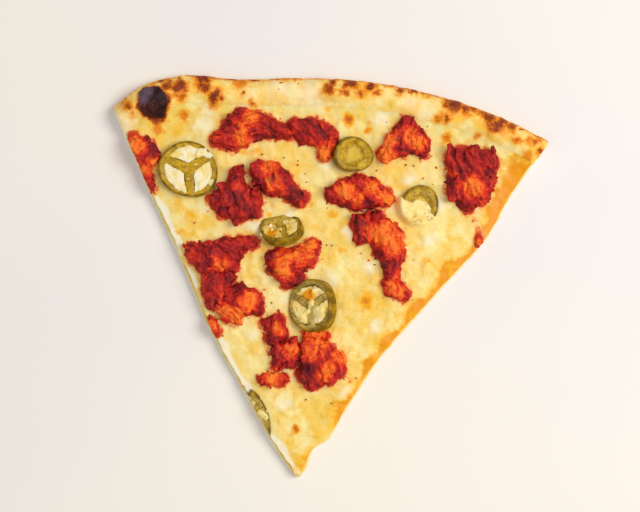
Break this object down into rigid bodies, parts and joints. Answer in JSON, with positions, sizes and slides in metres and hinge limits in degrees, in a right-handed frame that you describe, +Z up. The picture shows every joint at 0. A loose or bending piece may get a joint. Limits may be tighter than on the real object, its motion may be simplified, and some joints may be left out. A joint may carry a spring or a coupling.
{
  "type": "pizza slice",
  "caption": "Flat wedge of thin-crust pizza with a charred rim, melted cheese, spiced chicken pieces and jalapeno slices, cut along both sides.",
  "frame": {"origin": "on the flat underside, at the middle of the bounding box", "axes": "+Z up out of the toppings; the tip points to -Y and the rim lies at +Y; +X to the right with the tip towards the viewer"},
  "size_m": [0.216, 0.196, 0.016],
  "materials": {
    "dough": "dry baked dough, browned at the rim",
    "cheese": "melted, a little oily",
    "chicken": "moist, coated in red spice",
    "jalapeno": "wet, baked olive green"
  },
  "bodies": {
    "root": {"crust": "dough", "cheese": "cheese", "jalapeno_ring": "jalapeno", "jalapeno_cap": "jalapeno", "jalapeno_half": "jalapeno", "jalapeno_upright": "jalapeno", "jalapeno_oval": "jalapeno", "jalapeno_cut": "jalapeno", "chicken_corner": "chicken", "chicken_rim_left": "chicken", "chicken_rim_mid": "chicken", "chicken_rim_drop": "chicken", "chicken_rim_right": "chicken", "chicken_square": "chicken", "chicken_left_low": "chicken", "chicken_left_high": "chicken", "chicken_middle": "chicken", "chicken_neck": "chicken", "chicken_neck_foot": "chicken", "chicken_edge_high": "chicken", "chicken_edge_mid": "chicken", "chicken_edge_low": "chicken", "chicken_edge_scrap": "chicken", "chicken_centre": "chicken", "chicken_stub": "chicken", "chicken_tip_left": "chicken", "chicken_tip_right": "chicken", "chicken_tip_strip": "chicken", "chicken_tip_bar": "chicken", "chicken_right_scrap": "chicken"}
  },
  "joints": []
}
